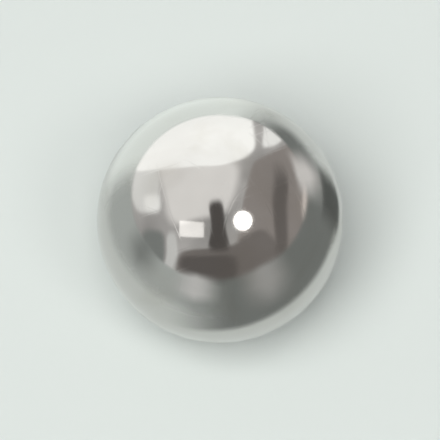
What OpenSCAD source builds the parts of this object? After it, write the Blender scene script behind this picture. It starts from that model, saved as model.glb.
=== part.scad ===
// Steel ball: one solid piece, formed from wire, then ground, lapped and polished to a true sphere.
// It has no flat, seam, bore or mark, so its diameter is its one dimension.
// The origin is the centre of the ball and +Z is up. Lengths are in millimetres.

/* [Ball] */
// Diameter of the finished ball
ball_d = 6; // [1:0.5:50]

/* [Hidden] */

// Radius of the ball, from its diameter
ball_r = ball_d / 2;

// Colour of polished steel, a grey with a faint warm cast
polished_steel = [0.58, 0.57, 0.555];

// Segments round the ball where it is drawn as a mesh
$fn = 180;

// The whole ball, a true sphere about the origin
module ball() {
    color(polished_steel)
        sphere(r = ball_r);
}

ball();
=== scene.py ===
import bpy
import math
from mathutils import Matrix, Vector


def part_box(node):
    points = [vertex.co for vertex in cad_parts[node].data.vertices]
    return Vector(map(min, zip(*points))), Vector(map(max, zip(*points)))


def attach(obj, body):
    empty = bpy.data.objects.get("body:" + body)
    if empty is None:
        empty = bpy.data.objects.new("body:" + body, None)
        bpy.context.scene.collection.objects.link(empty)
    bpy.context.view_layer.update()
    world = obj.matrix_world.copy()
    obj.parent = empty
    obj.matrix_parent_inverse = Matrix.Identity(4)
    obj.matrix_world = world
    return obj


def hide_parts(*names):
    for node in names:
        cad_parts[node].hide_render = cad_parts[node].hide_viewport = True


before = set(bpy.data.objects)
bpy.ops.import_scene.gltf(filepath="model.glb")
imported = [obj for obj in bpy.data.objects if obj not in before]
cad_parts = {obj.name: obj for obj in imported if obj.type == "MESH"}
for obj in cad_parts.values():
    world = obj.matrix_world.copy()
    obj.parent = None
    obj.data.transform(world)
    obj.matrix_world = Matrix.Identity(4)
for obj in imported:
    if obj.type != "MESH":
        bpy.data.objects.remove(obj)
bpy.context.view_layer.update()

# Lengths are in metres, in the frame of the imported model: the ball's centre is the origin and +Z is up.
MM = 0.001
BALL_LOW, BALL_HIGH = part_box("ball")
BALL_DIAMETER = max(BALL_HIGH - BALL_LOW)
BALL_RADIUS = BALL_DIAMETER / 2

# The photograph looks down on the ball from about 39 of its diameters away
VIEW_ELEVATION = math.radians(63)
VIEW_DISTANCE = 39 * BALL_DIAMETER
NEAREST_SEEN = 0.1  # share of the view's distance
FRAME_FILL = 0.56  # share of the picture's width that the ball takes
SENSOR_WIDTH = 36  # in millimetres, as the lens is

# The three directions of the picture: to the camera, to the right and up
TO_CAMERA = Vector((0, -math.cos(VIEW_ELEVATION), math.sin(VIEW_ELEVATION)))
TO_RIGHT = Vector((1, 0, 0))
TO_TOP = TO_CAMERA.cross(TO_RIGHT)

# Ball mesh: a cube's faces cut in three each way, then halved five times
BLANK_CUTS = 2
HALVINGS = 5

# Finish of the steel. A pair named SHOWN holds the value at which something starts to show, and the gain.
STEEL = (0.58, 0.57, 0.555, 1)
OILED_STEEL = (0.53, 0.515, 0.49, 1)
PIT_STEEL = (0.16, 0.14, 0.12, 1)
MIRROR_ROUGHNESS = 0.06
OIL_ROUGHNESS = 0.06  # added where the film of oil is thickest
HAZE_ROUGHNESS = 0.04  # added by the finest lapping marks
LINE_ROUGHNESS = 0.12
PIT_ROUGHNESS = 0.35
OIL_PATCH = 2.2 * MM
OIL_SHOWN = (0.45, 4)
HAZE_GRAIN = 0.035 * MM
LINE_SPACING = 0.22 * MM
LINE_MARGIN = 0.2  # share of the spacing that a line keeps free at each side
LINE_BEND = 0.6  # how far a line wanders, in spacings
LINE_WIDTH = 0.018 * MM
LINE_DEPTH = 0.0005 * MM
FAINTEST_LINE = 0.3  # share of the strongest
ARC_LENGTH = 1.5 * MM
ARC_SHIFT = 3.7  # sets the breaks of one line apart from the next one's
ARC_SHOWN = (0.5, 8)
PIT_SPACING = 0.6 * MM
PIT_RADIUS = 0.02 * MM
PIT_DEPTH = 0.003 * MM
PIT_SHOWN = (0.72, 30)

# The four directions of the lap, each with a seed for its lines
LAP_DIRECTIONS = [((1, 0.25, 0.4), 1.3), ((-0.4, 1, 0.5), 4.1), ((0.5, -0.6, 1), 7.7), ((1, 1, -0.7), 9.2)]

# Floor and light. The levels are shares of the light that shows a colour as it is written.
FLOOR_RADIUS = 1.6
FLOOR_SIDES = 96
FLOOR_COLOUR = (0.74, 0.785, 0.765, 1)
BACKDROP = (0.75, 0.80, 0.78, 1)
AIR_LEVEL = 0.27
KEY_LEVEL = 0.72
KEY_DIRECTION = Vector((-0.18, -0.38, 0.91)).normalized()
KEY_DISTANCE = 0.9
KEY_SIZE = 0.6
LAMP_DISTANCE = 0.6

# What the ball mirrors: the tent, and before it the cards, each nearer than the one before. They glow
# though they are no lamps, so what they show in the ball is painted light and shade.
TENT_RADIUS = 1.5
TENT_SEGMENTS = 48
TENT_RINGS = 24
TENT_TONES = (0.42, 0.70)  # darkest and lightest
FARTHEST_CARD = 1.3
CARD_STEP = 0.04
WHITE = (0.99, 1.0, 0.98)
WARM_GREY = (1.0, 0.985, 0.96)
BROWN_GREY = (1.0, 0.92, 0.87)
GREEN_GREY = (0.93, 1.0, 0.96)
# Painted light and shade that wanders at random over the tent, the cards and the flags, as over cloth in
# folds
FOLD_SIZE = 1.1
FOLD_TONES = (0.94, 1.06)  # darkest and lightest, as shares of a card's level
FOLD_SHOWN = (0.3, 2.5)
SOLID_RINGS = 3  # rings of a card's mesh inside its soft edge
CORNER_CUTS = 3
CORNER_SHARE = 0.2  # of each side, cut off at both of its ends
FLAG_STEPS = 24
FLAG_SOFT_TOP = 0.92  # share of its height at which it starts to fade out


class Wire:
    """A node's output. A sum, difference or product of wires and numbers adds its Math node."""

    def __init__(self, shader, socket):
        self.shader = shader
        self.socket = socket

    def math(self, operation, *values, clamped=False):
        settings = {"operation": operation, "use_clamp": clamped}
        return self.shader.node("ShaderNodeMath", settings, dict(enumerate(values)))

    def __add__(self, other):
        return self.math("ADD", self, other)

    def __radd__(self, other):
        return self.math("ADD", other, self)

    def __sub__(self, other):
        return self.math("SUBTRACT", self, other)

    def __rsub__(self, other):
        return self.math("SUBTRACT", other, self)

    def __mul__(self, other):
        return self.math("MULTIPLY", self, other)

    def __rmul__(self, other):
        return self.math("MULTIPLY", other, self)

    def __abs__(self):
        return self.math("ABSOLUTE", self)

    def floor(self):
        return self.math("FLOOR", self)

    def held(self):
        """The value held between 0 and 1."""
        return self.math("ADD", self, 0, clamped=True)

    def rise(self, start, gain):
        """0 up to start, and then a rise with that gain up to 1."""
        return ((self - start) * gain).held()

    def eased(self):
        """A value from 0 to 1 that leaves 0 and reaches 1 gently."""
        return self * self * (3 - 2 * self)


class Shader:
    """A node tree that is built by calls to node()."""

    def __init__(self, tree):
        self.tree = tree
        self.tree.nodes.clear()

    def node(self, kind, settings=None, sockets=None, out=0):
        """Adds a node with its settings, then its sockets' values or wires, and gives one output."""
        made = self.tree.nodes.new(kind)
        for name, value in (settings or {}).items():
            setattr(made, name, value)
        for name, value in (sockets or {}).items():
            if isinstance(value, Wire):
                self.tree.links.new(value.socket, made.inputs[name])
            else:
                made.inputs[name].default_value = value
        return Wire(self, made.outputs[out]) if made.outputs else made

    def blend(self, share, first, second):
        """One colour that turns into another as share goes from 0 to 1."""
        return self.node("ShaderNodeMix", {"data_type": "RGBA"}, {0: share, 6: first, 7: second}, out=2)


def new_material(name):
    """A material with an empty node tree, and the shader that fills it."""
    material = bpy.data.materials.new(name)
    material.use_nodes = True
    return material, Shader(material.node_tree)


def lapping_lines(shader, place, axis, seed):
    """Hairline marks of the lap, in broken arcs on planes across the axis: 1 on a line and 0 off it."""
    arcs = {"Vector": place, "Scale": 1 / ARC_LENGTH}
    bend = shader.node("ShaderNodeTexNoise", {}, {**arcs, "Detail": 1})
    factors = {0: place, 1: Vector(axis).normalized()}
    height = shader.node("ShaderNodeVectorMath", {"operation": "DOT_PRODUCT"}, factors, out="Value")
    across = height * (1 / LINE_SPACING) + LINE_BEND * bend + seed
    cell = across.floor()
    cell_number = {"W": cell + seed}
    luck = shader.node("ShaderNodeTexWhiteNoise", {"noise_dimensions": "1D"}, cell_number, out="Value")
    offset = across - cell - LINE_MARGIN - (1 - 2 * LINE_MARGIN) * luck
    line = (1 - abs(offset) * (2 * LINE_SPACING / LINE_WIDTH)).held()
    breaks = {**arcs, "W": ARC_SHIFT * cell, "Detail": 0}
    stretch = shader.node("ShaderNodeTexNoise", {"noise_dimensions": "4D"}, breaks)
    return line * stretch.rise(*ARC_SHOWN) * (FAINTEST_LINE + (1 - FAINTEST_LINE) * luck)


def pit_marks(shader, place):
    """A few tiny pits, at some of the points of a loose lattice. 1 in a pit and 0 outside it."""
    cells = {"Vector": place, "Scale": 1 / PIT_SPACING, "Randomness": 1}
    away = shader.node("ShaderNodeTexVoronoi", {}, cells, out="Distance")
    colour = shader.node("ShaderNodeTexVoronoi", {}, cells, out="Color")
    luck = shader.node("ShaderNodeSeparateColor", {}, {"Color": colour}, out="Red")
    return (1 - away * (PIT_SPACING / PIT_RADIUS)).held() * luck.rise(*PIT_SHOWN)


def polished_steel():
    """Through-hardened steel, lapped and polished, with a thin uneven film of oil."""
    material, shader = new_material("polished_steel")
    place = shader.node("ShaderNodeTexCoord", out="Object")
    patches = {"Vector": place, "Scale": 1 / OIL_PATCH, "Detail": 3, "Roughness": 0.55, "Distortion": 0.6}
    oil = shader.node("ShaderNodeTexNoise", {}, patches).rise(*OIL_SHOWN)
    haze = shader.node("ShaderNodeTexNoise", {}, {"Vector": place, "Scale": 1 / HAZE_GRAIN, "Detail": 2})
    lines = sum(lapping_lines(shader, place, axis, seed) for axis, seed in LAP_DIRECTIONS)
    pits = pit_marks(shader, place)
    colour = shader.blend(pits, shader.blend(oil, STEEL, OILED_STEEL), PIT_STEEL)
    roughness = MIRROR_ROUGHNESS + OIL_ROUGHNESS * oil + HAZE_ROUGHNESS * haze
    roughness = roughness + LINE_ROUGHNESS * lines + PIT_ROUGHNESS * pits
    height = 0 - LINE_DEPTH * lines - PIT_DEPTH * pits
    normal = shader.node("ShaderNodeBump", {}, {"Strength": 1, "Distance": 1, "Height": height})
    finish = {"Base Color": colour, "Metallic": 1, "Roughness": roughness, "Normal": normal}
    surface = shader.node("ShaderNodeBsdfPrincipled", {}, finish)
    shader.node("ShaderNodeOutputMaterial", {}, {"Surface": surface})
    return material


def deselect_all():
    """The loaded nodes stay selected until this."""
    bpy.ops.object.select_all(action="DESELECT")


def apply_modifier(piece, kind, **settings):
    """Adds a modifier to the active piece and applies it."""
    modifier = piece.modifiers.new(kind.title(), kind)
    for name, value in settings.items():
        setattr(modifier, name, value)
    bpy.ops.object.modifier_apply(modifier=modifier.name)


def polished_ball():
    """The ball, from a cube whose divided faces are swelled to the true sphere, so it has no poles."""
    deselect_all()
    bpy.ops.mesh.primitive_cube_add(size=BALL_DIAMETER)
    ball = bpy.context.object
    ball.name = "polished_ball"
    bpy.ops.object.mode_set(mode="EDIT")
    bpy.ops.mesh.select_all(action="SELECT")
    bpy.ops.mesh.subdivide(number_cuts=BLANK_CUTS)
    bpy.ops.transform.tosphere(value=1)
    bpy.ops.object.mode_set(mode="OBJECT")
    apply_modifier(ball, "SUBSURF", levels=HALVINGS, render_levels=HALVINGS)
    apply_modifier(ball, "CAST", cast_type="SPHERE", factor=1, size=BALL_RADIUS, use_radius_as_size=False)
    bpy.ops.object.shade_smooth()
    ball.data.materials.append(polished_steel())
    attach(ball, "root")
    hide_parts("ball")


def pale_floor():
    """The pale matt sheet that the ball lies on."""
    material, shader = new_material("pale_sheet")
    surface = shader.node("ShaderNodeBsdfDiffuse", {}, {"Color": FLOOR_COLOUR})
    shader.node("ShaderNodeOutputMaterial", {}, {"Surface": surface})
    deselect_all()
    bpy.ops.mesh.primitive_circle_add(
        vertices=FLOOR_SIDES, radius=FLOOR_RADIUS, fill_type="NGON", location=(0, 0, -BALL_RADIUS)
    )
    floor = bpy.context.object
    floor.name = "floor"
    floor.data.materials.append(material)


def uneven(shader, tint, dark, light):
    """A tint that wanders at random between a dark and a light tone, as cloth in folds does: on a part that
    glows, painted light and shade.
    """
    place = shader.node("ShaderNodeTexCoord", out="Object")
    folds = {"Vector": place, "Scale": 1 / FOLD_SIZE, "Detail": 2}
    tone = shader.node("ShaderNodeTexNoise", {}, folds).rise(*FOLD_SHOWN)
    dark_tint, light_tint = ((*(tone * part for part in tint), 1) for tone in (dark, light))
    return shader.blend(tone, dark_tint, light_tint)


def glow(name, tint, level):
    """The painted light of a card or a flag, which glows though it is no lamp, dark at a low level. It
    fades out where the mesh's solid is 0.
    """
    material, shader = new_material(name)
    solid = shader.node("ShaderNodeAttribute", {"attribute_name": "solid"}, out="Fac")
    dark, light = (level * tone for tone in FOLD_TONES)
    shine = shader.node("ShaderNodeEmission", {}, {"Color": uneven(shader, tint, dark, light)})
    clear = shader.node("ShaderNodeBsdfTransparent")
    surface = shader.node("ShaderNodeMixShader", {}, {0: solid.eased(), 1: clear, 2: shine})
    shader.node("ShaderNodeOutputMaterial", {}, {"Surface": surface})
    return material


def only_mirrored(thing):
    """Puts a thing on the stage where polished surfaces see it and nothing else does."""
    thing.visible_camera = False
    thing.visible_diffuse = False
    thing.visible_shadow = False


def set_up(name, points, faces, solid, material):
    """Makes a card or a flag from its mesh, with how solid each point is, and puts it on the stage."""
    mesh = bpy.data.meshes.new(name)
    mesh.from_pydata(points, [], faces)
    mesh.attributes.new("solid", "FLOAT", "POINT").data.foreach_set("value", solid)
    mesh.materials.append(material)
    board = bpy.data.objects.new(name, mesh)
    bpy.context.scene.collection.objects.link(board)
    only_mirrored(board)


def seen_on_ball(x, y):
    """The direction that the ball mirrors at x to the right and y up in the picture, in ball radii."""
    normal = x * TO_RIGHT + y * TO_TOP + math.sqrt(1 - x * x - y * y) * TO_CAMERA
    return 2 * normal.dot(TO_CAMERA) * normal - TO_CAMERA


def rounded(corners):
    """The directions along a closed line, whose corners are cut off until they are smooth curves."""
    line = [seen_on_ball(x, y) for x, y in corners]
    for _ in range(CORNER_CUTS):
        pairs = list(zip(line, line[1:] + line[:1]))
        shares = (CORNER_SHARE, 1 - CORNER_SHARE)
        line = [here.lerp(after, share).normalized() for here, after in pairs for share in shares]
    return line


def card(name, corners, tint, level, distance, edge):
    """A curved card at one distance from the ball, which mirrors it within the rounded corners. It glows
    though it is no lamp, so it is a painted reflection, light or dark by its level.
    It fades out over its edge, the outer share of the way from its middle."""
    line = rounded(corners)
    count = len(line)
    middle = seen_on_ball(*(sum(values) / len(corners) for values in zip(*corners)))
    points, solid = [distance * middle], [1.0]
    faces = [[0, 1 + here, 1 + (here + 1) % count] for here in range(count)]
    shares = [(1 - edge) * ring / SOLID_RINGS for ring in range(1, SOLID_RINGS + 1)] + [1]
    for ring, share in enumerate(shares):
        points += [distance * middle.lerp(corner, share).normalized() for corner in line]
        solid += [float(share < 1)] * count
        start = 1 + ring * count
        for here in range(count if ring else 0):
            after = (here + 1) % count
            faces.append([start - count + here, start - count + after, start + after, start + here])
    set_up(name, points, faces, solid, glow(name, tint, level))


def flag(name, angles, distances, heights, tint, level, foot=(0, 0.45), end=20):
    """A strip that stands round part of the ball, solid but for its soft edges and ends. It glows though it
    is no lamp and shows only in the ball's mirror: painted shade where it is darker than the floor that it
    hides, and painted light where it is lighter. Each pair gives its start and its end: the angles in
    degrees from +Y, clockwise from above, and the distances and heights in ball radii. It fades in between
    the two shares of its height in foot, and each end fades out over that many degrees."""
    rows = [(foot[0], 0.0), (foot[1], 1.0), (FLAG_SOFT_TOP, 1.0), (1, 0.0)]
    starts, ends = (Vector(values) for values in zip(angles, distances, heights))
    points, faces, solid = [], [], []
    for step in range(FLAG_STEPS + 1):
        angle, distance, height = starts.lerp(ends, step / FLAG_STEPS)
        turn = math.radians(angle)
        fade = min(1, (angle - angles[0]) / end, (angles[1] - angle) / end)
        for share, shade in rows:
            place = Vector((distance * math.sin(turn), distance * math.cos(turn), share * height - 1))
            points.append(BALL_RADIUS * place)
            solid.append(shade * fade)
    for step in range(FLAG_STEPS):
        for row in range(len(rows) - 1):
            here = len(rows) * step + row
            faces.append([here, here + len(rows), here + len(rows) + 1, here + 1])
    set_up(name, points, faces, solid, glow(name, tint, level))


def tent():
    """The plain cloth tent round the stage, in an uneven grey, mirrored between the cards. It glows though
    it is no lamp: its grey is painted light and shade.
    """
    material, shader = new_material("tent_cloth")
    shine = shader.node("ShaderNodeEmission", {}, {"Color": uneven(shader, WARM_GREY, *TENT_TONES)})
    shader.node("ShaderNodeOutputMaterial", {}, {"Surface": shine})
    deselect_all()
    bpy.ops.mesh.primitive_uv_sphere_add(
        segments=TENT_SEGMENTS, ring_count=TENT_RINGS, radius=TENT_RADIUS
    )
    cloth = bpy.context.object
    cloth.name = "tent"
    bpy.ops.object.shade_smooth()
    cloth.data.materials.append(material)
    only_mirrored(cloth)


def lamp(name, shape, direction, distance, width, height, tint, power):
    """A flat lamp that faces the ball and stands upright in the picture, with its size in metres."""
    light = bpy.data.lights.new(name, "AREA")
    light.shape = shape
    light.size = width
    light.size_y = height
    light.color = tint
    light.energy = power
    made = bpy.data.objects.new(name, light)
    bpy.context.scene.collection.objects.link(made)
    made.location = distance * direction
    across = (TO_RIGHT - TO_RIGHT.dot(direction) * direction).normalized()
    made.rotation_euler = Matrix((across, direction.cross(across), direction)).transposed().to_euler()
    made.visible_camera = False
    return made


def mirrored_lamp(name, shape, x, y, width, height, tint, level):
    """A small lamp that the ball mirrors at x, y with that width and height, in ball radii. A disk comes
    out about a quarter brighter than its level."""
    # A step across the ball's picture spans twice that angle in what it mirrors, and more near its rim
    toward = math.sqrt(1 - x * x - y * y)
    wide, high = (2 * LAMP_DISTANCE * size / toward for size in (width, height))
    power = level * math.pi * wide * high
    lamp(name, shape, seen_on_ball(x, y), LAMP_DISTANCE, wide, high, tint, power)


def key_lamp():
    """The big soft lamp above, which lights the floor at its level and isn't mirrored."""
    # A floor that faces a lamp of power (pi * distance) ** 2 shows its colour as it is written
    power = KEY_LEVEL * (math.pi * KEY_DISTANCE) ** 2 / KEY_DIRECTION.z
    made = lamp("key_lamp", "RECTANGLE", KEY_DIRECTION, KEY_DISTANCE, KEY_SIZE, KEY_SIZE, WHITE, power)
    made.visible_glossy = False


def cards():
    """The glowing cards, from the farthest to the nearest, which are no lamps and show only in the ball's
    mirror:
    the pale ones are painted light, the three brightest in the shape of soft boxes, and the dark ones are
    painted dark reflections. Each has its level, its tint, the share of it that is soft edge, and its
    corners as the ball mirrors them."""
    placed = {
        "upper_card": (1.08, WARM_GREY, 0.3, [
            (-0.56, 0.50), (0.10, 0.56), (0.22, 0.46), (0.15, 0.16),
            (0.08, 0.02), (-0.20, -0.03), (-0.42, -0.10), (-0.50, 0.20)]),
        "right_card": (0.38, BROWN_GREY, 0.08, [
            (0.25, 0.48), (0.17, 0.16), (0.16, -0.04), (0.12, -0.18), (0.20, -0.50), (0.40, -0.70),
            (0.74, -0.46), (0.90, 0.00), (0.86, 0.40), (0.70, 0.68), (0.54, 0.62), (0.36, 0.53)]),
        "left_pale_strip": (0.85, WHITE, 0.35, [
            (-0.43, -0.06), (-0.34, -0.06), (-0.32, -0.28),
            (-0.34, -0.52), (-0.48, -0.50), (-0.43, -0.28)]),
        "left_card": (1.05, WHITE, 0.3, [
            (-0.76, 0.44), (-0.44, 0.46), (-0.43, 0.03), (-0.66, 0.02), (-0.74, 0.20)]),
        "low_card": (0.25, BROWN_GREY, 0.14, [
            (-0.35, -0.24), (-0.20, -0.22), (0.10, -0.20), (0.22, -0.10), (0.36, -0.04), (0.48, -0.16),
            (0.58, -0.50), (0.30, -0.70), (0.00, -0.68), (-0.30, -0.62), (-0.40, -0.42)]),
        # Painted light: the three brightest cards, shaped as soft boxes, though they are no lamps
        "upper_painted_light": (1.5, WHITE, 0.08, [
            (-0.70, 0.36), (-0.50, 0.39), (-0.30, 0.41), (0.00, 0.42), (0.20, 0.48), (0.30, 0.56),
            (0.29, 0.72), (0.25, 0.88), (-0.10, 0.92), (-0.50, 0.80), (-0.78, 0.50)]),
        "small_painted_light": (1.25, WHITE, 0.3, [
            (0.31, 0.55), (0.46, 0.58), (0.56, 0.68), (0.44, 0.82), (0.32, 0.84)]),
        "left_painted_light": (1.35, WHITE, 0.6, [
            (-0.64, 0.22), (-0.46, 0.24), (-0.45, 0.05), (-0.62, 0.04)]),
        "left_dark_card": (0.32, GREEN_GREY, 0.35, [
            (-0.64, -0.03), (-0.42, -0.06), (-0.42, -0.34), (-0.52, -0.46), (-0.62, -0.34)]),
        "right_dark_strip": (0.2, BROWN_GREY, 0.5, [
            (0.39, 0.53), (0.52, 0.50), (0.55, 0.15), (0.56, -0.12),
            (0.50, -0.45), (0.40, -0.45), (0.42, -0.10), (0.39, 0.20)]),
        "right_pale_strip": (0.95, BROWN_GREY, 0.5, [
            (0.62, 0.46), (0.73, 0.40), (0.77, 0.12), (0.74, -0.10), (0.66, -0.10), (0.64, 0.10)]),
        "low_dark_card": (0.16, BROWN_GREY, 0.25, [
            (-0.33, -0.26), (0.16, -0.24), (0.18, -0.46),
            (0.06, -0.58), (-0.28, -0.46), (-0.36, -0.36)]),
        "middle_dark_strip": (0.12, BROWN_GREY, 0.3, [
            (-0.11, 0.18), (0.03, 0.20), (0.05, -0.06),
            (0.11, -0.28), (-0.12, -0.28), (-0.07, -0.06)]),
    }
    for order, (name, (level, tint, edge, corners)) in enumerate(placed.items()):
        card(name, corners, tint, level, FARTHEST_CARD - order * CARD_STEP, edge)


def flags_and_lamps():
    """The flags and the smaller patches, which the ball mirrors round its rim in place of the floor near
    it:
    painted shade where they are darker than that floor and painted light where they are lighter. Then the
    two small lamps.
    """
    # Painted shade: these grey and dark flags mirror darker than the lit floor near the ball
    flag("grey_painted_shade_flag", (175, 300), (2.3, 2.3), (1.65, 1.86), GREEN_GREY, 0.6)
    flag("right_painted_shade_flag", (17, 90), (2.5, 2.1), (1.99, 1.85), GREEN_GREY, 0.27, foot=(0.35, 0.75))
    flag("low_painted_shade_flag", (50, 212), (2.15, 1.15), (1.93, 1.62), GREEN_GREY, 0.27, foot=(0, 0.3), end=40)
    # Painted light: this white flag mirrors lighter than the lit floor near the ball
    flag("white_painted_light_flag", (-75, 25), (1.9, 1.9), (1.81, 2.02), GREEN_GREY, 1.15)
    # Painted shade again, close to the rim on the right
    flag("right_low_painted_shade_flag", (56, 98), (1.6, 1.6), (1.35, 1.35), GREEN_GREY, 0.15, foot=(0.15, 0.4), end=16)
    # The patches paint light and shade on the mirrored floor next to the rim, each as it is lighter or
    # darker than that floor
    flag("right_patch", (50, 94), (1.4, 1.4), (2.08, 2.03), WARM_GREY, 0.9, foot=(0.6, 0.82))
    flag("low_left_patch", (178, 212), (1.2, 1.2), (1.7, 1.7), WHITE, 0.75, foot=(0.69, 0.8), end=17)
    flag("low_patch", (130, 172), (1.25, 1.25), (1.78, 1.72), WHITE, 0.5, foot=(0.5, 0.8))
    flag("left_patch", (218, 258), (1.6, 1.6), (1.74, 1.78), GREEN_GREY, 0.33, foot=(0.5, 0.8))
    mirrored_lamp("right_lamp", "DISK", 0.185, -0.005, 0.145, 0.145, WARM_GREY, 4.0)
    mirrored_lamp("left_lamp", "RECTANGLE", -0.23, -0.075, 0.20, 0.12, WARM_GREY, 0.9)


def room_air():
    """The world: a pale backdrop to what looks at it or mirrors it, and an even light on everything."""
    world = bpy.data.worlds.new("room")
    world.use_nodes = True
    bpy.context.scene.world = world
    shader = Shader(world.node_tree)
    camera_ray = shader.node("ShaderNodeLightPath", out="Is Camera Ray")
    glossy_ray = shader.node("ShaderNodeLightPath", out="Is Glossy Ray")
    clear_ray = shader.node("ShaderNodeLightPath", out="Is Transmission Ray")
    looked_at = (camera_ray + glossy_ray + clear_ray).held()
    colour = shader.blend(looked_at, (AIR_LEVEL, AIR_LEVEL, AIR_LEVEL, 1), BACKDROP)
    background = shader.node("ShaderNodeBackground", {}, {"Color": colour, "Strength": 1})
    shader.node("ShaderNodeOutputWorld", {}, {"Surface": background})


def camera():
    """The camera at the photograph's angle and distance, close up on the ball by its lens."""
    data = bpy.data.cameras.new("camera")
    data.sensor_width = SENSOR_WIDTH
    data.lens = SENSOR_WIDTH * VIEW_DISTANCE * FRAME_FILL / BALL_DIAMETER
    data.clip_start = NEAREST_SEEN * VIEW_DISTANCE
    data.clip_end = 2 * FLOOR_RADIUS
    made = bpy.data.objects.new("camera", data)
    bpy.context.scene.collection.objects.link(made)
    made.location = VIEW_DISTANCE * TO_CAMERA
    made.rotation_euler = (-TO_CAMERA).to_track_quat("-Z", "Y").to_euler()
    bpy.context.scene.camera = made


polished_ball()
pale_floor()
tent()
cards()
flags_and_lamps()
key_lamp()
room_air()
camera()
bpy.context.scene.view_settings.view_transform = "Standard"
